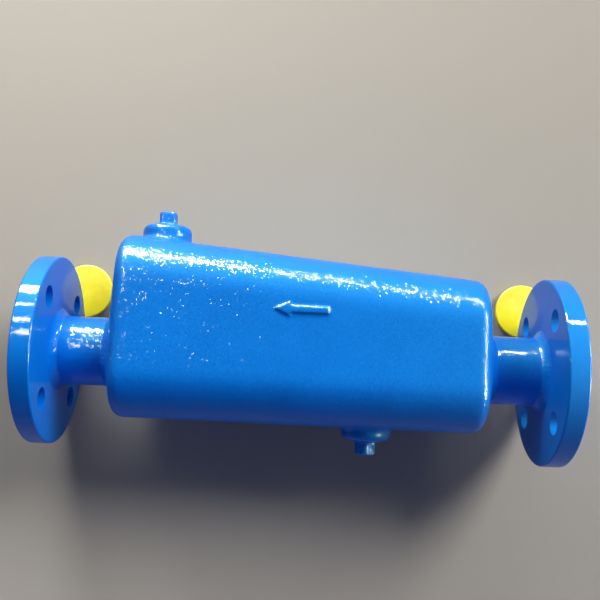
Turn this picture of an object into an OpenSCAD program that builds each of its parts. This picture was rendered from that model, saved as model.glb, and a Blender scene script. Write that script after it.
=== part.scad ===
// In-line baffle separator with flanged ports, lying on its side as it was set down on a floor.
// X runs along the pipe with the flow, -Y is the drain side, +Y is the vent side and Z points up.
// The origin is the centre of the inlet gasket face. All sizes are in millimetres.

/* [Pipe line] */
// Length between the two gasket faces
face_to_face = 424; // [414:1:460]
// Bore of both ports
port_bore = 40; // [32:0.5:44]
// Outside diameter of the pipe stubs between flanges and body
neck_od = 55; // [50:0.5:60]
// Leg of the fillet welds on the pipe stubs
weld_leg = 6; // [3:0.5:8]

/* [Flanges] */
// Outside diameter of a flange
flange_od = 150; // [140:1:165]
// Thickness of a flange over its raised face
flange_t = 18; // [14:0.5:24]
// Diameter of the raised gasket face
raised_d = 88; // [76:1:90]
// Height of the raised gasket face
raised_h = 2; // [1:0.5:3]
// Bolt circle diameter
bolt_circle = 110; // [108:1:118]
// Diameter of the bolt holes
bolt_hole = 18; // [12:0.5:19]
// Bolt holes in a flange, straddling the vertical of the pipe in service
bolt_count = 4; // [4:4:8]
// Rounding of the flange rim
rim_round = 1.5; // [0.5:0.25:3]

/* [Body casting] */
// Length of the body between its end planes
body_len = 289; // [280:1:296]
// Height of the flat crown that each end wall rises to around the pipe
crown_h = 4.5; // [2:0.5:7]
// Flat margin of the crown outside the weld
crown_margin = 2; // [1:0.5:4]
// Half the width of the body, from the pipe axis to the upper side
half_width = 55; // [50:0.5:60]
// Distance from the pipe axis to the vent side
vent_reach = 51; // [47:0.5:56]
// Distance from the pipe axis to the drain side at the inlet shoulder
drain_reach_inlet = 70; // [64:0.5:76]
// Distance from the pipe axis to the drain side at the outlet shoulder
drain_reach_outlet = 93.5; // [86:0.5:98]
// Rounding of the long edges
long_round = 38; // [34:0.5:42]
// Rounding of the edges around both ends
end_round = 9; // [7:0.5:13]
// Rounding of the edges around both ends of the chamber inside
inner_round = 5; // [3:0.5:8]
// Wall thickness of the casting
wall = 8; // [5:0.5:10]
// Length of the inlet end cap that closes the body behind the baffle set
cap_len = 36; // [26:1:42]

/* [Flow arrow] */
// Length of the raised arrow over its tip
arrow_len = 40; // [30:1:60]
// Length of the arrow head
arrow_head_len = 11; // [8:0.5:14]
// Width of the arrow head
arrow_head_w = 10; // [7:0.5:12]
// Width of the arrow shaft
arrow_shaft_w = 4.5; // [3:0.5:6]
// Height that the arrow stands proud
arrow_h = 1.6; // [0.8:0.2:2.4]
// Distance of the arrow from the pipe axis, towards the drain side
arrow_offset = 37; // [25:0.5:38]

/* [Bosses and plugs] */
// Outside diameter of the bosses
boss_od = 40; // [36:0.5:44]
// Rounding at the foot of a boss
boss_fillet = 3; // [2:0.5:5]
// Rounding of the outer edge of a boss
boss_round = 5.5; // [3:0.25:6.5]
// Distance from the body's inlet end to the middle of the vent boss
vent_from_end = 89; // [82:0.5:130]
// Height of the vent boss over the vent side
vent_boss_h = 10; // [7:0.5:15]
// Distance from the body's outlet end to the middle of the drain boss
drain_from_end = 31.5; // [31:0.5:52]
// Height of the drain boss over the middle of its place on the drain side
drain_boss_h = 13.5; // [10:0.5:20]
// Thread diameter of the plugs
plug_d = 21; // [17:0.5:25]
// Length of thread in the boss
thread_len = 14; // [10:0.5:14]
// Thickness of the sealing tape on the thread
tape_t = 0.3; // [0.2:0.05:0.5]
// Round shank left showing between boss and square head
shank_show = 1.3; // [0.5:0.1:4]
// Width across the flats of the square head
head_flats = 14; // [11:0.5:16]
// Height of the square head
head_h = 10.4; // [8:0.2:14]
// Amount turned off the four corners of the head
corner_cut = 1.4; // [0.6:0.1:2]
// Chamfer around the head and at the end of the shank
plug_chamfer = 1.2; // [0.6:0.1:2]
// Angle that the vent plug stands at
vent_clock = 42; // [0:1:45]
// Angle that the drain plug stands at
drain_clock = 2; // [0:1:45]

/* [Baffle set] */
// Thickness of the baffle plates
baffle_t = 4; // [3:0.5:6]
// Distance from the inside of each end wall to the middle of the nearest plate
baffle_margin = 60.5; // [56:0.5:76]
// Lower edge of the hanging plates, from the pipe axis towards the drain side
hanging_edge = 34; // [28:1:40]
// Upper edge of the standing plate, from the pipe axis towards the vent side
standing_edge = 10; // [4:1:20]
// Height of the drain notch in the standing plate
notch_h = 9; // [5:0.5:14]
// Width of the drain notch in the standing plate
notch_w = 30; // [16:1:36]
// Diameter of the tie rods
rod_d = 8; // [6:0.5:10]
// Distance between the two tie rods
rod_spread = 62; // [52:1:64]
// Distance from the pipe axis to the tie rods, towards the drain side
rod_drop = 14; // [8:0.5:18]
// Depth that a tie rod is screwed into the end cap
rod_grip = 5; // [3:0.5:6]
// Outside diameter of the spacer tubes
spacer_od = 13; // [12:0.5:16]
// Width across the flats of the nuts
nut_flats = 13; // [12:0.5:16]
// Height of the nuts
nut_h = 6.5; // [4:0.5:8]
// Length of rod that stands past the last nut
rod_past_nut = 3; // [1:0.5:8]

/* [Port caps] */
// Diameter of the cap head
cap_d = 48; // [45:0.5:54]
// Thickness of the cap head
cap_head_t = 3; // [2:0.25:4]
// Height of the cap over its spigot
cap_h = 7; // [5.5:0.25:9]
// Wall of the hollow spigot
cap_wall = 2; // [1:0.25:3]
// Distance that the inlet cap is tucked under its flange, from the cap's middle
inlet_tuck = 4.5; // [0:0.5:8]
// Distance that the outlet cap is tucked under its flange, from the cap's middle
outlet_tuck = 1; // [0:0.5:8]

/* [Clearances] */
// Radial running clearance of the threads and the tape on them
thread_fit = 0.04; // [0.02:0.01:0.08]
// Gap between the baffle plates and the casting
plate_fit = 0.3; // [0.2:0.05:0.6]
// Radial clearance of the tie rods in plates and spacers
rod_fit = 0.1; // [0.05:0.05:0.3]
// Gap between a port cap and the flange that rests over it
chock_fit = 0.3; // [0.2:0.05:0.6]
// Radial clearance of a cap's spigot in its port
spigot_fit = 0.2; // [0.1:0.05:0.5]

/* [Hidden] */

// Facets of the rounded corners and of the true round pieces
corner_facets = 40;
edge_facets = 32;
$fn = 96;
// Overlap that lets cutting tools pass through a face
eps = 1;

// Stations along the pipe
mid_x = face_to_face / 2;
body_start = mid_x - body_len / 2;
body_end = mid_x + body_len / 2;
seam_x = body_start + cap_len;
vent_x = body_start + vent_from_end;
drain_x = body_end - drain_from_end;
neck_r = neck_od / 2;
neck_len = body_start + wall;
flange_r = flange_od / 2;
crown_r = neck_r + weld_leg + crown_margin;

// The drain side runs straight between the two shoulders
shoulder_start = body_start + end_round;
shoulder_end = body_end - end_round;
drain_slope = (drain_reach_outlet - drain_reach_inlet) / (shoulder_end - shoulder_start);
function drain_reach(x) = drain_reach_inlet + (x - shoulder_start) * drain_slope;

// Plug seats
tape_r = plug_d / 2 + thread_fit + tape_t;
thread_hole_r = tape_r + thread_fit;
boss_r = boss_od / 2;
boss_foot_depth = wall / 2;
// The hollow of a boss's foot starts a little inside the boss
foot_overlap = 0.4;
foot_r = boss_r - foot_overlap + boss_fillet;
vent_boss_end = vent_reach + vent_boss_h;
drain_wall_y = drain_reach(drain_x);
drain_boss_end = drain_wall_y + drain_boss_h;

// The plates stand evenly about the middle of the body, and the rods reach from the end cap past the last nut
baffle_xs = [body_start + wall + baffle_margin, mid_x, body_end - wall - baffle_margin];
rod_start = body_start + wall - rod_grip;
rod_end = baffle_xs[2] + baffle_t / 2 + nut_h + rod_past_nut;
rod_hole_r = rod_d / 2 + rod_fit;

// A cap lies on the floor, pushed under the flange until its head meets the rim
cap_round = cap_head_t / 2;
cap_reach = flange_r + cap_round + chock_fit;
cap_y = -(sqrt(pow(cap_reach, 2) - pow(flange_r - cap_h + cap_round, 2)) + cap_d / 2 - cap_round);
inlet_cap_x = flange_t - inlet_tuck;
outlet_cap_x = face_to_face - flange_t + outlet_tuck;

enamel_blue = "#0a6fd8";
steel_grey = "#9aa0a6";
tape_white = "#f2f2ee";
cap_yellow = "#f6e21a";

// Turns a shape made along Z so that it runs along X
module along_x() {
    rotate([0, 90, 0]) children();
}

// Turns a shape made along Z so that it points to the vent side or to the drain side
module to_side(side) {
    rotate([-90 * side, 0, 0]) children();
}

// Mirrors the inlet end's pieces to the outlet end
module at_outlet() {
    translate([face_to_face, 0, 0]) mirror([1, 0, 0]) children();
}

// The body's rounded block, drawn in on every side by inset
module block(inset) {
    edge_round = inset == 0 ? end_round : inner_round;
    hull() {
        for (end = [0, 1], up = [-1, 1], side = [0, 1]) {
            x = end == 0 ? body_start + inset + edge_round : body_end - inset - edge_round;
            y = side == 0 ? vent_reach - long_round : long_round - drain_reach(x);
            translate([x, y, up * (half_width - long_round)])
                along_x()
                    rotate_extrude($fn = corner_facets)
                        translate([long_round - inset - edge_round, 0]) circle(edge_round, $fn = edge_facets);
        }
        if (inset == 0)
            translate([body_start - crown_h, 0, 0])
                along_x() cylinder(body_len + 2 * crown_h, r = crown_r, $fn = corner_facets);
    }
}

// Boss with a rounded outer edge, from the middle of the wall at depth to its outer end at height
module boss(depth, height) {
    rotate_extrude() {
        translate([0, depth]) square([boss_r, height - depth - boss_round]);
        translate([0, height - boss_round]) square([boss_r - boss_round, boss_round]);
        translate([boss_r - boss_round, height - boss_round]) circle(boss_round);
    }
}

// Hollow-cornered foot that blends a boss into the wall, with its skirt sunk into the casting
module boss_foot() {
    rotate_extrude() {
        difference() {
            translate([0, -boss_foot_depth]) square([foot_r, boss_foot_depth + boss_fillet]);
            translate([foot_r, boss_fillet]) circle(boss_fillet);
        }
    }
}

module vent_boss() {
    translate([vent_x, 0, 0]) to_side(1) boss(vent_reach - boss_foot_depth, vent_boss_end);
    translate([vent_x, vent_reach, 0]) to_side(1) boss_foot();
}

module drain_boss() {
    translate([drain_x, 0, 0]) to_side(-1) boss(drain_wall_y - boss_foot_depth, drain_boss_end);
    translate([drain_x, -drain_wall_y, 0]) rotate([0, 0, -atan(drain_slope)]) to_side(-1) boss_foot();
}

module flow_arrow() {
    shaft = arrow_shaft_w / 2;
    neck = arrow_len / 2 - arrow_head_len;
    translate([mid_x, -arrow_offset, half_width - eps])
        linear_extrude(arrow_h + eps)
            polygon([[-arrow_len / 2, -shaft], [neck, -shaft], [neck, -arrow_head_w / 2], [arrow_len / 2, 0],
                [neck, arrow_head_w / 2], [neck, shaft], [-arrow_len / 2, shaft]]);
}

// Both tie rods' places, for anything that sits on them
module each_rod() {
    for (up = [-1, 1])
        translate([0, -rod_drop, up * rod_spread / 2]) along_x() children();
}

// The whole hollow casting, before its end cap is parted off
module hollow_body() {
    difference() {
        union() {
            block(0);
            vent_boss();
            drain_boss();
            flow_arrow();
        }
        block(wall);
        translate([-eps, 0, 0]) along_x() cylinder(face_to_face + 2 * eps, r = neck_r);
        translate([vent_x, 0, 0]) to_side(1) cylinder(vent_boss_end + eps, r = thread_hole_r);
        translate([drain_x, 0, 0]) to_side(-1) cylinder(drain_boss_end + eps, r = thread_hole_r);
        each_rod() translate([0, 0, rod_start]) cylinder(rod_grip + eps, r = rod_d / 2);
    }
}

// All space on one side of the seam between body and end cap
module seam_side(side) {
    reach = face_to_face;
    translate([side < 0 ? seam_x - reach : seam_x, -reach / 2, -reach / 2]) cube(reach);
}

module body_casting() {
    color(enamel_blue) intersection() {
        hollow_body();
        seam_side(1);
    }
}

module inlet_end_cap() {
    color(enamel_blue) intersection() {
        hollow_body();
        seam_side(-1);
    }
}

// Pipe stub from the gasket face through the end wall
module neck() {
    color(enamel_blue) along_x() difference() {
        cylinder(neck_len, r = neck_r);
        translate([0, 0, -eps]) cylinder(neck_len + 2 * eps, r = port_bore / 2);
    }
}

// Flange slipped over the pipe stub, its raised face flush with the stub's end
module flange() {
    color(enamel_blue) along_x() difference() {
        rotate_extrude() {
            square([raised_d / 2, raised_h + eps]);
            translate([0, raised_h]) square([flange_r - rim_round, flange_t - raised_h]);
            translate([0, raised_h + rim_round]) square([flange_r, flange_t - raised_h - 2 * rim_round]);
            for (edge = [raised_h + rim_round, flange_t - rim_round])
                translate([flange_r - rim_round, edge]) circle(rim_round);
        }
        translate([0, 0, -eps]) cylinder(flange_t + 2 * eps, r = neck_r);
        for (i = [0 : bolt_count - 1])
            rotate([0, 0, (i + 0.5) * 360 / bolt_count])
                translate([bolt_circle / 2, 0, 0]) cylinder(flange_t + eps, r = bolt_hole / 2);
    }
}

// Fillet weld around the pipe stub, from a wall at station x, running towards the other end
module weld_bead(x, way) {
    color(enamel_blue) translate([x, 0, 0]) along_x() mirror([0, 0, way < 0 ? 1 : 0])
        rotate_extrude() translate([neck_r, 0]) polygon([[0, 0], [weld_leg, 0], [0, weld_leg]]);
}

// Square-headed plug, outwards along Z from the boss face
module plug(clock) {
    corner_r = head_flats / sqrt(2) - corner_cut;
    color(enamel_blue) {
        translate([0, 0, -thread_len]) cylinder(plug_chamfer, r1 = plug_d / 2 - plug_chamfer, r2 = plug_d / 2);
        translate([0, 0, plug_chamfer - thread_len])
            cylinder(thread_len + shank_show - plug_chamfer, r = plug_d / 2);
        translate([0, 0, shank_show]) intersection() {
            rotate([0, 0, clock]) linear_extrude(head_h) square(head_flats, center = true);
            union() {
                cylinder(head_h - plug_chamfer, r = corner_r);
                translate([0, 0, head_h - plug_chamfer])
                    cylinder(plug_chamfer, r1 = corner_r, r2 = corner_r - 2 * plug_chamfer);
            }
        }
    }
}

// Sealing tape wound on the thread, inside the boss
module thread_tape() {
    color(tape_white) translate([0, 0, plug_chamfer - thread_len]) difference() {
        cylinder(thread_len - plug_chamfer, r = tape_r);
        translate([0, 0, -eps]) cylinder(thread_len + 2 * eps, r = plug_d / 2 + thread_fit);
    }
}

module at_vent() {
    translate([vent_x, vent_boss_end, 0]) to_side(1) children();
}

module at_drain() {
    translate([drain_x, -drain_boss_end, 0]) to_side(-1) children();
}

// Plate across the chamber at station i, kept from low to high across the pipe
module baffle(i, low, high) {
    color(steel_grey) difference() {
        intersection() {
            block(wall + plate_fit);
            translate([baffle_xs[i] - baffle_t / 2, low, -half_width]) cube([baffle_t, high - low, 2 * half_width]);
        }
        each_rod() cylinder(face_to_face, r = rod_hole_r);
    }
}

module hanging_baffle(i) {
    baffle(i, -hanging_edge, vent_reach);
}

module standing_baffle(i) {
    floor_y = -drain_reach(baffle_xs[i]);
    difference() {
        baffle(i, floor_y, standing_edge);
        translate([baffle_xs[i] - baffle_t, floor_y, -notch_w / 2]) cube([2 * baffle_t, wall + notch_h, notch_w]);
    }
}

module tie_rods() {
    color(steel_grey) each_rod() translate([0, 0, rod_start]) cylinder(rod_end - rod_start, r = rod_d / 2);
}

// Tubes that keep the plates apart, the first of them standing on the end cap's wall
module baffle_spacers() {
    starts = [body_start + wall, baffle_xs[0] + baffle_t / 2, baffle_xs[1] + baffle_t / 2];
    color(steel_grey) each_rod() difference() {
        for (i = [0 : 2])
            translate([0, 0, starts[i]]) cylinder(baffle_xs[i] - baffle_t / 2 - starts[i], r = spacer_od / 2);
        cylinder(face_to_face, r = rod_hole_r);
    }
}

module tie_rod_nuts() {
    color(steel_grey) each_rod() translate([0, 0, baffle_xs[2] + baffle_t / 2]) difference() {
        cylinder(nut_h, r = nut_flats / sqrt(3), $fn = 6);
        translate([0, 0, -eps]) cylinder(nut_h + 2 * eps, r = rod_d / 2);
    }
}

// Push-in cap with a rounded head on a hollow spigot, standing on its spigot
module port_cap() {
    color(cap_yellow) rotate_extrude() {
        translate([0, cap_h - cap_head_t]) square([cap_d / 2 - cap_round, cap_head_t]);
        translate([cap_d / 2 - cap_round, cap_h - cap_round]) circle(cap_round);
        translate([port_bore / 2 - spigot_fit - cap_wall, 0]) square([cap_wall, cap_h - cap_head_t + cap_round]);
    }
}

module on_floor(x) {
    translate([x, cap_y, -flange_r]) children();
}

body_casting();
inlet_end_cap();
neck();  // inlet_neck
at_outlet() neck();  // outlet_neck
flange();  // inlet_flange
at_outlet() flange();  // outlet_flange
weld_bead(flange_t, 1);  // inlet_flange_weld
at_outlet() weld_bead(flange_t, 1);  // outlet_flange_weld
weld_bead(body_start - crown_h, -1);  // inlet_body_weld
at_outlet() weld_bead(body_start - crown_h, -1);  // outlet_body_weld
at_vent() plug(vent_clock);  // vent_plug
at_drain() plug(drain_clock);  // drain_plug
at_vent() thread_tape();  // vent_thread_tape
at_drain() thread_tape();  // drain_thread_tape
hanging_baffle(0);  // inlet_baffle
standing_baffle(1);  // middle_baffle
hanging_baffle(2);  // outlet_baffle
tie_rods();
baffle_spacers();
tie_rod_nuts();
on_floor(inlet_cap_x) port_cap();  // inlet_port_cap
on_floor(outlet_cap_x) port_cap();  // outlet_port_cap
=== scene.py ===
import math

import bmesh
import bpy
from mathutils import Euler, Matrix, Vector, noise


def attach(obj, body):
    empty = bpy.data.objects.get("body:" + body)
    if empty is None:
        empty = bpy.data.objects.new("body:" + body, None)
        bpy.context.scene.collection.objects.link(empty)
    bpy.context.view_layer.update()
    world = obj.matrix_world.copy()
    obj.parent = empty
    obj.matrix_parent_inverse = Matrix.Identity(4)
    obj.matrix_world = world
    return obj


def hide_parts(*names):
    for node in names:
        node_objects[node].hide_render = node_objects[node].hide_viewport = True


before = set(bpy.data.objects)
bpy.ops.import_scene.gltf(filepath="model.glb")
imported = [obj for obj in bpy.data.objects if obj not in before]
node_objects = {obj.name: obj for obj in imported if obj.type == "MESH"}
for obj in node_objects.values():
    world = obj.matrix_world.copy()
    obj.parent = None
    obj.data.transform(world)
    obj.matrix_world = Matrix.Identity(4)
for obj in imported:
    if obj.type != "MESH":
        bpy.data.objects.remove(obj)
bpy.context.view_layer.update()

# An in-line baffle separator: a blue enamelled casting with welded stubs and flanges, lying on its side.
# X runs along the pipe, -Y is the drain side, +Y the vent side and Z points up. Lengths are in metres.
MM = 0.001
scene = bpy.context.scene

# Sizes of the casting, in millimetres, as in the part's source
BODY_ENDS = (67.5, 356.5)
CROWN_PLANES = (63.0, 361.0)
CROWN_R = 35.5
HALF_WIDTH = 55.0
VENT_REACH = 51.0
DRAIN_REACH = (70.0, 93.5)
LONG_ROUND = 38.0
END_ROUND = 9.0
INNER_ROUND = 5.0
WALL = 8.0
SEAM_X = 103.5
NECK_R = 27.5
BOSS_R = 20.0
BOSS_ROUND = 5.5
BOSS_FILLET = 3.0
THREAD_HOLE_R = 10.88
VENT_X, VENT_BOSS_H = 156.5, 10.0
DRAIN_X, DRAIN_BOSS_H = 325.0, 13.5
PLUG_R = 10.5
THREAD_LEN = 14.0
SHANK_SHOW = 1.3
HEAD_FLATS = 14.0
HEAD_H = 10.4
CORNER_CUT = 1.4
PLUG_CHAMFER = 1.2
WELD_LEG = 6.0
FLANGE_T = 18.0
FACE_TO_FACE = 424.0

ARROW_MID = (212.0, -37.0)
ARROW_LEN, ARROW_HEAD_LEN, ARROW_HEAD_W, ARROW_SHAFT_W, ARROW_H = 40.0, 11.0, 10.0, 4.5, 1.6
ARROW_ROOT = 2.0

# How finely rounds are drawn, and where a piece's shading breaks at an edge
TURN_STEPS = 96
CORNER_STEPS = 12
SHARP_EDGE = math.radians(38)
# How far a cutter reaches past the skin, and past the whole casting, in millimetres
CUT_PAST = 5.0
FAR = 200.0

shoulders = (BODY_ENDS[0] + END_ROUND, BODY_ENDS[1] - END_ROUND)
drain_slope = (DRAIN_REACH[1] - DRAIN_REACH[0]) / (shoulders[1] - shoulders[0])


def drain_reach(x):
    """Distance from the pipe axis to the sloping drain side, at a station along the pipe."""
    return DRAIN_REACH[0] + (x - shoulders[0]) * drain_slope


drain_wall_y = drain_reach(DRAIN_X)
vent_boss_end = VENT_REACH + VENT_BOSS_H
drain_boss_end = drain_wall_y + DRAIN_BOSS_H
to_vent = Matrix.Rotation(math.radians(-90), 4, "X")
to_drain = Matrix.Rotation(math.radians(90), 4, "X")
drain_tilt = Matrix.Rotation(-math.atan(drain_slope), 4, "Z")
along_pipe = Matrix.Rotation(math.radians(90), 4, "Y")


def at(x, y, z, turn=None):
    """Place in millimetres, with an optional turn before it."""
    place = Matrix.Translation((x, y, z))
    return place @ turn if turn else place


# Mesh making, in millimetres until a piece is finished

def hull_of(points):
    bm = bmesh.new()
    verts = [bm.verts.new(p) for p in points]
    result = bmesh.ops.convex_hull(bm, input=verts)
    unused = result["geom_interior"] + result["geom_unused"]
    inside = {v for v in unused if isinstance(v, bmesh.types.BMVert)}
    bmesh.ops.delete(bm, geom=list(inside), context="VERTS")
    return bm


def bridged(bm, rings):
    """Faces from each closed ring to the next, and from the last to the first."""
    count = len(rings[0])
    for ring, after in zip(rings, rings[1:] + rings[:1]):
        for j in range(count):
            k = (j + 1) % count
            bm.faces.new((ring[j], after[j], after[k], ring[k]))


def lathe(profile, place, steps=TURN_STEPS):
    """A closed profile of (radius, height) points, turned about the place's own Z."""
    bm = bmesh.new()
    rings = []
    for i in range(steps):
        a = 2 * math.pi * i / steps
        rings.append([bm.verts.new((r * math.cos(a), r * math.sin(a), h)) for r, h in profile])
    bridged(bm, rings)
    bmesh.ops.remove_doubles(bm, verts=bm.verts, dist=1e-4)
    bmesh.ops.dissolve_degenerate(bm, edges=bm.edges, dist=1e-4)
    bmesh.ops.recalc_face_normals(bm, faces=bm.faces)
    bm.transform(place)
    return bm


def prism(outline, low, high, place):
    bm = bmesh.new()
    face = bm.faces.new([bm.verts.new((x, y, low)) for x, y in outline])
    raised = bmesh.ops.extrude_face_region(bm, geom=[face])["geom"]
    lid = [v for v in raised if isinstance(v, bmesh.types.BMVert)]
    bmesh.ops.translate(bm, vec=(0, 0, high - low), verts=lid)
    bmesh.ops.recalc_face_normals(bm, faces=bm.faces)
    bm.transform(place)
    return bm


def arc(middle, radius, start, end, steps=8):
    """Points of a round on a profile, by angles in degrees."""
    angles = [math.radians(start + (end - start) * i / steps) for i in range(steps + 1)]
    return [(middle[0] + radius * math.cos(a), middle[1] + radius * math.sin(a)) for a in angles]


def joined(*parts):
    whole = bmesh.new()
    for part in parts:
        mesh = bpy.data.meshes.new("part")
        part.to_mesh(mesh)
        part.free()
        whole.from_mesh(mesh)
        bpy.data.meshes.remove(mesh)
    return whole


def workpiece(bm):
    mesh = bpy.data.meshes.new("workpiece")
    bm.to_mesh(mesh)
    bm.free()
    obj = bpy.data.objects.new("workpiece", mesh)
    scene.collection.objects.link(obj)
    return obj


def machined(obj):
    """The workpiece's mesh after its modifiers, with the workpiece cleared away."""
    shaped = obj.evaluated_get(bpy.context.evaluated_depsgraph_get())
    mesh = bpy.data.meshes.new_from_object(shaped)
    bm = bmesh.new()
    bm.from_mesh(mesh)
    old = obj.data
    bpy.data.objects.remove(obj)
    bpy.data.meshes.remove(old)
    bpy.data.meshes.remove(mesh)
    return bm


def cast_skin(bm, voxel, rounds):
    """One even skin over overlapping solids, with its corners softened as sand and paint soften them."""
    obj = workpiece(bm)
    remesh = obj.modifiers.new("skin", "REMESH")
    remesh.mode = "VOXEL"
    remesh.voxel_size = voxel
    soften = obj.modifiers.new("soften", "SMOOTH")
    soften.factor = 0.5
    soften.iterations = rounds
    return machined(obj)


def combined(bm, operation, cutters):
    """The solid after each cutter is taken away from it, or kept as its limit."""
    obj = workpiece(bm)
    tools = [workpiece(cutter) for cutter in cutters]
    for tool in tools:
        cut = obj.modifiers.new("cut", "BOOLEAN")
        cut.operation = operation
        cut.solver = "MANIFOLD"
        cut.object = tool
    done = machined(obj)
    for tool in tools:
        mesh = tool.data
        bpy.data.objects.remove(tool)
        bpy.data.meshes.remove(mesh)
    return done


def lumpy(bm, lumps):
    """Sinks the skin along its normals by noise, as pairs of wavelength and depth in millimetres."""
    bm.normal_update()
    moves = []
    for v in bm.verts:
        height = 0.0
        for k, (wavelength, depth) in enumerate(lumps):
            height += depth * (noise.noise(v.co / wavelength + Vector((17.0 * k, 5.0, 3.0))) - 1) / 2
        moves.append(v.normal * height)
    for v, move in zip(bm.verts, moves):
        v.co += move


def finished(name, bm, material, body, slot, *stands_for):
    """Turns a mesh in millimetres into a piece of the object, riding on its body."""
    bm.transform(Matrix.Scale(MM, 4))
    bmesh.ops.recalc_face_normals(bm, faces=bm.faces)
    for face in bm.faces:
        face.smooth = True
    for edge in bm.edges:
        edge.smooth = edge.calc_face_angle(0.0) < SHARP_EDGE
    mesh = bpy.data.meshes.new(name)
    bm.to_mesh(mesh)
    bm.free()
    piece = bpy.data.objects.new(name, mesh)
    scene.collection.objects.link(piece)
    mesh.materials.append(material)
    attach(piece, body)
    if stands_for:
        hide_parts(*stands_for)
    return piece


# Materials

def linear(code):
    """An sRGB hex colour as the linear values that shaders take."""
    values = [int(code[i:i + 2], 16) / 255 for i in (1, 3, 5)]
    return [c / 12.92 if c <= 0.04045 else ((c + 0.055) / 1.055) ** 2.4 for c in values] + [1.0]


def node(tree, kind, settings=None, inputs=None):
    """Adds a shader node with its settings, and its inputs as values or links."""
    made = tree.nodes.new(kind)
    for key, value in (settings or {}).items():
        setattr(made, key, value)
    for key, value in (inputs or {}).items():
        if isinstance(value, bpy.types.NodeSocket):
            tree.links.new(value, made.inputs[key])
        else:
            made.inputs[key].default_value = value
    return made


def new_material(name):
    material = bpy.data.materials.new(name)
    material.use_nodes = True
    tree = material.node_tree
    tree.nodes.clear()
    return material, tree


def per_mm(size):
    """Texture scale at which one feature is this many millimetres across."""
    return 1.0 / (size * MM)


def gloss_enamel(name, grain, tilt, wave, wave_depth, coat=0.45):
    """Blue alkyd enamel, brushed on thick. It shows deep even colour under a clear gloss, and whatever lies
    below it, sand grains or turned steel, breaks each highlight into sparks. Grain, wave and wave_depth are
    in millimetres, and tilt is how far a grain can lean."""
    material, tree = new_material(name)
    place = node(tree, "ShaderNodeTexCoord").outputs["Object"]
    waves = node(tree, "ShaderNodeTexNoise", None,
                 {"Vector": place, "Scale": per_mm(wave), "Detail": 2.0, "Roughness": 0.5})
    flow = node(tree, "ShaderNodeBump", None,
                {"Strength": 1.0, "Distance": wave_depth * MM, "Height": waves.outputs["Fac"]})
    # Each grain leans its own way: most of them hardly, a few of them far
    grains = node(tree, "ShaderNodeTexVoronoi", None, {"Vector": place, "Scale": per_mm(grain)})
    lean = node(tree, "ShaderNodeVectorMath", {"operation": "MULTIPLY_ADD"},
                {0: grains.outputs["Color"], 1: (2, 2, 2), 2: (-1, -1, -1)}).outputs["Vector"]
    times = {"operation": "MULTIPLY"}
    square = node(tree, "ShaderNodeVectorMath", times, {0: lean, 1: lean}).outputs["Vector"]
    cube = node(tree, "ShaderNodeVectorMath", times, {0: square, 1: lean}).outputs["Vector"]
    facing = []
    for share in (0.5 * tilt, tilt):
        leant = node(tree, "ShaderNodeVectorMath", {"operation": "MULTIPLY_ADD"},
                     {0: cube, 1: (share, share, share), 2: flow.outputs["Normal"]}).outputs["Vector"]
        facing.append(node(tree, "ShaderNodeVectorMath", {"operation": "NORMALIZE"}, {0: leant}))
    colour_facing, gloss_facing = (n.outputs["Vector"] for n in facing)
    # Film thickness varies over a few centimetres, which shifts the blue a little
    film = node(tree, "ShaderNodeTexNoise", None,
                {"Vector": place, "Scale": per_mm(38), "Detail": 3.0, "Roughness": 0.6})
    blue = node(tree, "ShaderNodeMix", {"data_type": "RGBA"},
                {"Factor": film.outputs["Fac"], "A": linear("#005ac2"), "B": linear("#006dd6")})
    shader = node(tree, "ShaderNodeBsdfPrincipled", None,
                  {"Base Color": blue.outputs["Result"], "Roughness": 0.65, "IOR": 1.5,
                   "Specular IOR Level": 0.22, "Specular Tint": (0.0, 1.0, 0.8, 1.0),
                   "Normal": colour_facing, "Coat Weight": coat, "Coat Roughness": 0.04,
                   "Coat IOR": 1.45, "Coat Normal": gloss_facing})
    node(tree, "ShaderNodeOutputMaterial", None, {"Surface": shader.outputs["BSDF"]})
    return material


casting_enamel = gloss_enamel("blue_enamel_over_sand_casting", grain=0.7, tilt=0.18, wave=10.0,
                              wave_depth=0.09)
turned_enamel = gloss_enamel("blue_enamel_over_turned_steel", grain=0.9, tilt=0.03, wave=12.0,
                             wave_depth=0.06, coat=0.55)
stub_enamel = gloss_enamel("blue_enamel_over_rough_pipe", grain=1.0, tilt=0.12, wave=8.0, wave_depth=0.2)
plug_enamel = gloss_enamel("blue_enamel_over_forged_plug", grain=0.8, tilt=0.4, wave=4.0, wave_depth=0.2)
weld_enamel = gloss_enamel("blue_enamel_over_weld", grain=1.0, tilt=0.2, wave=5.0, wave_depth=0.3)


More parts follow.
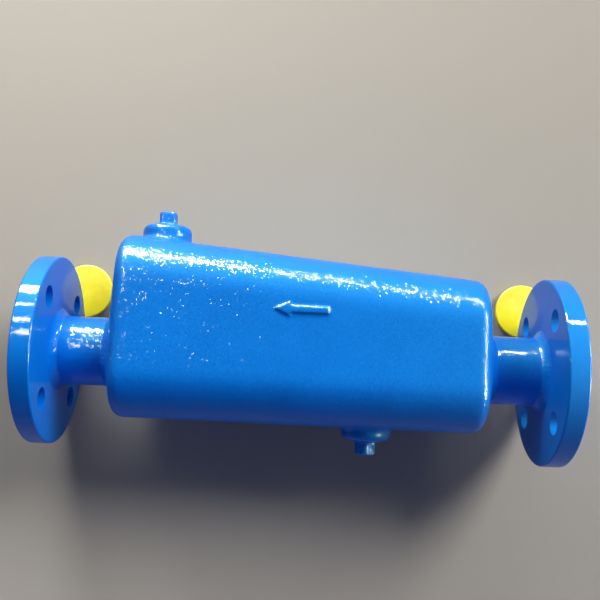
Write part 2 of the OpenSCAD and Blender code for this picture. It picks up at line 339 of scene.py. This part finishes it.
def moulded_polyethylene():
    """Yellow low-density polyethylene, injection moulded. It shows a soft waxy sheen and lets a little light
    in."""
    material, tree = new_material("yellow_moulded_polyethylene")
    place = node(tree, "ShaderNodeTexCoord").outputs["Object"]
    scuffs = node(tree, "ShaderNodeTexNoise", None,
                  {"Vector": place, "Scale": per_mm(6), "Detail": 5.0, "Roughness": 0.6})
    colour = node(tree, "ShaderNodeMix", {"data_type": "RGBA"},
                  {"Factor": scuffs.outputs["Fac"], "A": linear("#f2d900"), "B": linear("#fbec04")})
    sheen = node(tree, "ShaderNodeMapRange", None,
                 {"Value": scuffs.outputs["Fac"], "From Min": 0.3, "From Max": 0.7,
                  "To Min": 0.32, "To Max": 0.5})
    wax = node(tree, "ShaderNodeBump", None,
               {"Strength": 0.6, "Distance": 0.05 * MM, "Height": scuffs.outputs["Fac"]})
    shader = node(tree, "ShaderNodeBsdfPrincipled", None,
                  {"Base Color": colour.outputs["Result"], "Roughness": sheen.outputs["Result"],
                   "IOR": 1.51, "Specular IOR Level": 0.3, "Subsurface Weight": 0.2,
                   "Subsurface Radius": (0.004, 0.0035, 0.001), "Normal": wax.outputs["Normal"]})
    node(tree, "ShaderNodeOutputMaterial", None, {"Surface": shader.outputs["BSDF"]})
    return material


def rolled_steel():
    """Bare mild steel sheet and bar, rolled and drawn. Fine lines along the grain stretch its highlights."""
    material, tree = new_material("bare_rolled_steel")
    place = node(tree, "ShaderNodeTexCoord").outputs["Object"]
    along = node(tree, "ShaderNodeMapping", None, {"Vector": place, "Scale": (1.0, 0.05, 1.0)})
    # Rolling lines of a tenth of a millimetre are drawn as half a millimetre so that they show
    lines = node(tree, "ShaderNodeTexNoise", None,
                 {"Vector": along.outputs["Vector"], "Scale": per_mm(0.5), "Detail": 2.0})
    rough = node(tree, "ShaderNodeMapRange", None,
                 {"Value": lines.outputs["Fac"], "From Min": 0.3, "From Max": 0.7,
                  "To Min": 0.25, "To Max": 0.42})
    grain = node(tree, "ShaderNodeBump", None,
                 {"Strength": 0.5, "Distance": 0.02 * MM, "Height": lines.outputs["Fac"]})
    shader = node(tree, "ShaderNodeBsdfPrincipled", None,
                  {"Base Color": linear("#b6b7b7"), "Metallic": 1.0, "Roughness": rough.outputs["Result"],
                   "Normal": grain.outputs["Normal"]})
    node(tree, "ShaderNodeOutputMaterial", None, {"Surface": shader.outputs["BSDF"]})
    return material


def ptfe_tape():
    """White PTFE sealing tape, wound on. It is matt, a little see-through, and wrinkled along its turns."""
    material, tree = new_material("white_ptfe_tape")
    place = node(tree, "ShaderNodeTexCoord").outputs["Object"]
    wound = node(tree, "ShaderNodeMapping", None, {"Vector": place, "Scale": (0.3, 1.0, 0.3)})
    wrinkles = node(tree, "ShaderNodeTexNoise", None,
                    {"Vector": wound.outputs["Vector"], "Scale": per_mm(1.2), "Detail": 3.0})
    colour = node(tree, "ShaderNodeMix", {"data_type": "RGBA"},
                  {"Factor": wrinkles.outputs["Fac"], "A": linear("#dcdcd6"), "B": linear("#f4f4f0")})
    folds = node(tree, "ShaderNodeBump", None,
                 {"Strength": 0.8, "Distance": 0.1 * MM, "Height": wrinkles.outputs["Fac"]})
    shader = node(tree, "ShaderNodeBsdfPrincipled", None,
                  {"Base Color": colour.outputs["Result"], "Roughness": 0.55, "IOR": 1.35,
                   "Normal": folds.outputs["Normal"]})
    node(tree, "ShaderNodeOutputMaterial", None, {"Surface": shader.outputs["BSDF"]})
    return material


cap_plastic = moulded_polyethylene()
bare_steel = rolled_steel()
thread_tape = ptfe_tape()


# The casting

def block_points(inset, edge_round):
    """Points of the rounded block's eight corners, drawn in by inset, with this round on its end edges."""
    points = []
    steps = [math.radians(90 * i / CORNER_STEPS) for i in range(CORNER_STEPS + 1)]
    for end, way in zip(BODY_ENDS, (-1, 1)):
        shoulder = end - way * (inset + edge_round)
        for up in (-1, 1):
            for side, reach in ((1, VENT_REACH), (-1, drain_reach(shoulder))):
                y, z = side * (reach - LONG_ROUND), up * (HALF_WIDTH - LONG_ROUND)
                for about in steps:
                    for over in steps:
                        r = LONG_ROUND - inset - edge_round + edge_round * math.cos(over)
                        x = shoulder + way * edge_round * math.sin(over)
                        points.append((x, y + side * r * math.cos(about), z + up * r * math.sin(about)))
    return points


def crown_points():
    """Points of the low round crowns that carry the pipe stubs."""
    circle = [math.radians(360 * i / 64) for i in range(64)]
    return [(x, CROWN_R * math.cos(a), CROWN_R * math.sin(a)) for x in CROWN_PLANES for a in circle]


def boss(height, post_place, foot_place):
    """Boss with a rounded edge, and a hollow foot that lies along the wall."""
    low = -WALL / 2
    post = [(0, low), (BOSS_R, low)] + arc((BOSS_R - BOSS_ROUND, height - BOSS_ROUND), BOSS_ROUND, 0, 90)
    foot = [(0, low), (BOSS_R + BOSS_FILLET, low)]
    foot += arc((BOSS_R + BOSS_FILLET, BOSS_FILLET), BOSS_FILLET, 270, 180)
    return joined(lathe(post + [(0, height)], post_place), lathe(foot + [(0, BOSS_FILLET)], foot_place))


def flow_arrow():
    shaft, head = ARROW_SHAFT_W / 2, ARROW_HEAD_W / 2
    tip, neck = ARROW_LEN / 2, ARROW_LEN / 2 - ARROW_HEAD_LEN
    outline = [(-tip, -shaft), (neck, -shaft), (neck, -head), (tip, 0),
               (neck, head), (neck, shaft), (-tip, shaft)]
    return prism(outline, -ARROW_ROOT, ARROW_H, at(*ARROW_MID, HALF_WIDTH))


def rod(radius, start, end, place):
    return lathe([(0, start), (radius, start), (radius, end), (0, end)], place)


# Grain of each skin in millimetres, with its rounds of softening, and the cast skin's long and short lumps
BLOCK_SKIN = (2.0, 4)
CASTING_SKIN = (1.2, 3)
CASTING_LUMPS = [(34.0, 0.40), (11.0, 0.06)]


def casing():
    rough = cast_skin(hull_of(block_points(0, END_ROUND) + crown_points()), *BLOCK_SKIN)
    vent_place = at(VENT_X, VENT_REACH, 0, to_vent)
    vent = boss(VENT_BOSS_H, vent_place, vent_place)
    drain = boss(DRAIN_BOSS_H, at(DRAIN_X, -drain_wall_y, 0, to_drain),
                 at(DRAIN_X, -drain_wall_y, 0, drain_tilt @ to_drain))
    skin = cast_skin(joined(rough, vent, drain, flow_arrow()), *CASTING_SKIN)
    lumpy(skin, CASTING_LUMPS)
    cavity = hull_of(block_points(WALL, INNER_ROUND))
    bore = rod(NECK_R, CROWN_PLANES[0] - CUT_PAST, CROWN_PLANES[1] + CUT_PAST, along_pipe)
    vent_hole = rod(THREAD_HOLE_R, 0, vent_boss_end + CUT_PAST, at(VENT_X, 0, 0, to_vent))
    drain_hole = rod(THREAD_HOLE_R, 0, drain_boss_end + CUT_PAST, at(DRAIN_X, 0, 0, to_drain))
    return combined(skin, "DIFFERENCE", [cavity, bore, vent_hole, drain_hole])


def half_space(low, high):
    """A block between two stations along the pipe, wider than the casting."""
    return prism([(low, -FAR), (high, -FAR), (high, FAR), (low, FAR)], -FAR, FAR, Matrix.Identity(4))


whole = casing()
inlet_half = combined(whole.copy(), "INTERSECT", [half_space(0, SEAM_X)])
outlet_half = combined(whole, "INTERSECT", [half_space(SEAM_X, FACE_TO_FACE)])
finished("cast_inlet_end", inlet_half, casting_enamel, "separator", "blue_enamel", "inlet_end_cap")
finished("cast_body", outlet_half, casting_enamel, "separator", "blue_enamel", "body_casting")


# Weld beads around the pipe stubs

WELD_STEPS, WELD_RIPPLES = 240, 52
WELD_ROOT = 0.6
WELD_PROFILE_STEPS = 8


def weld_bead(x, way, seed):
    """A hollow fillet laid in one turn, with faint ripples where each drop of weld froze."""
    bm = bmesh.new()
    rings = []
    for i in range(WELD_STEPS):
        a = 2 * math.pi * i / WELD_STEPS
        wander = noise.noise((2.2 * math.cos(a), 2.2 * math.sin(a), seed))
        ripple = 0.5 + 0.5 * math.sin(WELD_RIPPLES * a + 3 * wander)
        leg = WELD_LEG * (0.97 + 0.10 * wander)
        ring = [(NECK_R - WELD_ROOT, 0.0), (NECK_R + leg, 0.0)]
        hollow = 2.7 - 0.15 * ripple
        for j in range(1, WELD_PROFILE_STEPS):
            t = math.radians(90 * j / WELD_PROFILE_STEPS)
            ring.append((NECK_R + leg * math.cos(t) ** hollow, leg * math.sin(t) ** hollow))
        ring += [(NECK_R, leg), (NECK_R - WELD_ROOT, leg)]
        rings.append([bm.verts.new((x + way * h, r * math.cos(a), r * math.sin(a))) for r, h in ring])
    bridged(bm, rings)
    return bm


WELDS = {
    "inlet_flange_weld": (FLANGE_T, 1, 1.0),
    "inlet_body_weld": (CROWN_PLANES[0], -1, 2.0),
    "outlet_body_weld": (CROWN_PLANES[1], 1, 3.0),
    "outlet_flange_weld": (FACE_TO_FACE - FLANGE_T, -1, 4.0),
}
for weld, (x, way, seed) in WELDS.items():
    finished(weld + "_bead", weld_bead(x, way, seed), weld_enamel, "separator", "blue_enamel", weld)


# Plugs

HEAD_SINK = 0.5
PLUG_SKIN = (0.5, 14)
PLUG_LUMPS = [(9.0, 0.25), (3.0, 0.08)]
VENT_CLOCK, DRAIN_CLOCK = 42, 2


def square_plug(place, clock):
    """Square-headed taper plug under a thick coat of paint, outwards from the boss face."""
    corner_r = HEAD_FLATS / math.sqrt(2) - CORNER_CUT
    top = SHANK_SHOW + HEAD_H
    rings = ((SHANK_SHOW - HEAD_SINK, corner_r), (top - PLUG_CHAMFER, corner_r),
             (top, corner_r - 2 * PLUG_CHAMFER))
    points = []
    for i in range(TURN_STEPS):
        a = 2 * math.pi * i / TURN_STEPS
        flat = HEAD_FLATS / 2 / max(abs(math.cos(a)), abs(math.sin(a)))
        points += [(min(flat, r) * math.cos(a), min(flat, r) * math.sin(a), z) for z, r in rings]
    head = hull_of(points)
    head.transform(Matrix.Rotation(math.radians(clock), 4, "Z"))
    shank = lathe([(0, -THREAD_LEN), (PLUG_R - PLUG_CHAMFER, -THREAD_LEN),
                   (PLUG_R, PLUG_CHAMFER - THREAD_LEN), (PLUG_R, SHANK_SHOW), (0, SHANK_SHOW)],
                  Matrix.Identity(4))
    skin = cast_skin(joined(head, shank), *PLUG_SKIN)
    lumpy(skin, PLUG_LUMPS)
    skin.transform(place)
    return skin


vent_square = square_plug(at(VENT_X, vent_boss_end, 0, to_vent), VENT_CLOCK)
drain_square = square_plug(at(DRAIN_X, -drain_boss_end, 0, to_drain), DRAIN_CLOCK)
finished("vent_square_plug", vent_square, plug_enamel, "vent_screw", "blue_enamel", "vent_plug")
finished("drain_square_plug", drain_square, plug_enamel, "drain_screw", "blue_enamel", "drain_plug")


# Pieces that keep their own solids and get a finish

FINISHES = {
    turned_enamel: ["inlet_flange", "outlet_flange"],
    stub_enamel: ["inlet_neck", "outlet_neck"],
    thread_tape: ["vent_thread_tape", "drain_thread_tape"],
    bare_steel: ["inlet_baffle", "middle_baffle", "outlet_baffle",
                 "tie_rods", "baffle_spacers", "tie_rod_nuts"],
    cap_plastic: ["inlet_port_cap", "outlet_port_cap"],
}
for finish, names in FINISHES.items():
    for name in names:
        materials = node_objects[name].data.materials
        materials.clear()
        materials.append(finish)


# Floor, light and camera

FLOOR_Z, FLOOR_HALF = -0.075, 6
floor_corners = [(x * FLOOR_HALF, y * FLOOR_HALF, FLOOR_Z) for x, y in ((-1, -1), (1, -1), (1, 1), (-1, 1))]
floor_mesh = bpy.data.meshes.new("floor")
floor_mesh.from_pydata(floor_corners, [], [(0, 1, 2, 3)])
floor = bpy.data.objects.new("floor", floor_mesh)
scene.collection.objects.link(floor)
floor_material, tree = new_material("pale_matt_floor")
matt = node(tree, "ShaderNodeBsdfPrincipled", None,
            {"Base Color": linear("#aaa499"), "Roughness": 0.9, "Specular IOR Level": 0.0})
node(tree, "ShaderNodeOutputMaterial", None, {"Surface": matt.outputs["BSDF"]})
floor_mesh.materials.append(floor_material)

world = bpy.data.worlds.new("studio")
scene.world = world
world.use_nodes = True
tree = world.node_tree
tree.nodes.clear()
# Pale paper backdrop up to a low height all round, and a dim room above it
direction = node(tree, "ShaderNodeTexCoord").outputs["Generated"]
height = node(tree, "ShaderNodeSeparateXYZ", None, {"Vector": direction}).outputs["Z"]
paper = node(tree, "ShaderNodeMapRange", {"interpolation_type": "SMOOTHSTEP"},
             {"Value": height, "From Min": 0.15, "From Max": 0.45, "To Min": 0.18, "To Max": 0.05})
room = node(tree, "ShaderNodeBackground", None,
            {"Color": linear("#e9edf2"), "Strength": paper.outputs["Result"]})
node(tree, "ShaderNodeOutputWorld", None, {"Surface": room.outputs["Background"]})


def soft_lamp(name, place, aim, size, power, roll, tint, colour=True, gloss=True):
    """Rectangular lamp at a place in metres, facing its aim, turned about that line by roll in degrees.
    It lights the colour of things, or shows in their gloss."""
    data = bpy.data.lights.new(name, "AREA")
    data.shape = "RECTANGLE"
    data.size, data.size_y = size
    data.energy = power
    data.color = tint
    lamp = bpy.data.objects.new(name, data)
    facing = (Vector(aim) - Vector(place)).to_track_quat("-Z", "Y").to_matrix()
    lamp.rotation_euler = (facing @ Matrix.Rotation(math.radians(roll), 3, "Z")).to_euler()
    lamp.location = place
    lamp.visible_camera = False
    lamp.visible_diffuse = colour
    lamp.visible_glossy = gloss
    scene.collection.objects.link(lamp)


key_data = bpy.data.lights.new("key", "SUN")
key_data.energy = 2.8
key_data.angle = math.radians(27)
key = bpy.data.objects.new("key", key_data)
key.rotation_euler = Vector((1.1, 1.05, -1.0)).to_track_quat("-Z", "Y").to_euler()
key.visible_glossy = False
scene.collection.objects.link(key)

# Points that lamps face, in metres
MIDDLE = (0.212, 0.0, 0.0)
OUTLET_FLANGE = (0.415, 0.0, 0.0)
VENT_BOSS = (0.1565, 0.055, 0.0)
DRAIN_BOSS = (0.325, -0.1, 0.0)
WHITE = (1.0, 1.0, 1.0)
COOL = (0.32, 0.40, 1.0)

# Broad lamps that light the paint's colour: name, place, aim, size, power and tint
COLOUR_LAMPS = [
    ("inlet_side_key", (-1.15, -0.85, 1.00), MIDDLE, (0.9, 0.7), 10, WHITE),
    ("outlet_side_key", (0.55, -0.80, 0.45), OUTLET_FLANGE, (0.3, 0.3), 5.5, WHITE),
    ("drain_side_window", (0.212, -1.60, 0.55), MIDDLE, (1.8, 0.3), 10, WHITE),
    ("vent_side_sky", (0.25, 1.50, 0.65), MIDDLE, (1.6, 1.0), 5.5, COOL),
]
# Narrow lamps that only show in the gloss: name, place, aim, size, power and roll
GLINTS = [
    ("drain_side_glint", (0.65, -1.40, 0.47), MIDDLE, (0.9, 0.22), 170, -8),
    ("inlet_end_glint", (-0.35, -1.40, 0.70), MIDDLE, (1.1, 0.06), 52, -8),
    ("low_inlet_glint", (-1.00, -0.05, 0.58), MIDDLE, (0.8, 0.12), 18, 0),
    ("vent_boss_glint", (-0.39, 0.11, 0.27), VENT_BOSS, (0.18, 0.14), 6, 0),
    ("drain_boss_glint", (-0.35, -0.23, 0.34), DRAIN_BOSS, (0.18, 0.14), 6, 0),
    ("high_inlet_glint", (-0.95, -0.10, 1.02), MIDDLE, (0.5, 0.12), 18, 0),
    ("outlet_top_glint", (0.66, -0.26, 0.90), MIDDLE, (0.12, 0.12), 2.5, 0),
    ("first_rim_glint", (0.91, -1.14, 0.95), OUTLET_FLANGE, (0.5, 0.06), 10, 0),
    ("second_rim_glint", (0.91, -0.78, 1.27), OUTLET_FLANGE, (0.5, 0.06), 10, 0),
]
for name, place, aim, size, power, tint in COLOUR_LAMPS:
    soft_lamp(name, place, aim, size, power, 0, tint, gloss=False)
for name, place, aim, size, power, roll in GLINTS:
    soft_lamp(name, place, aim, size, power, roll, WHITE, colour=False)

camera_data = bpy.data.cameras.new("camera")
camera_data.sensor_width = 36.0
camera_data.lens = 47.84
camera = bpy.data.objects.new("camera", camera_data)
camera.location = (0.2136, 0.01528, 0.6477)
camera.rotation_euler = Euler([math.radians(a) for a in (5.7077, -0.2445, -177.2826)], "XYZ")
scene.collection.objects.link(camera)
scene.camera = camera
scene.view_settings.view_transform = "Standard"
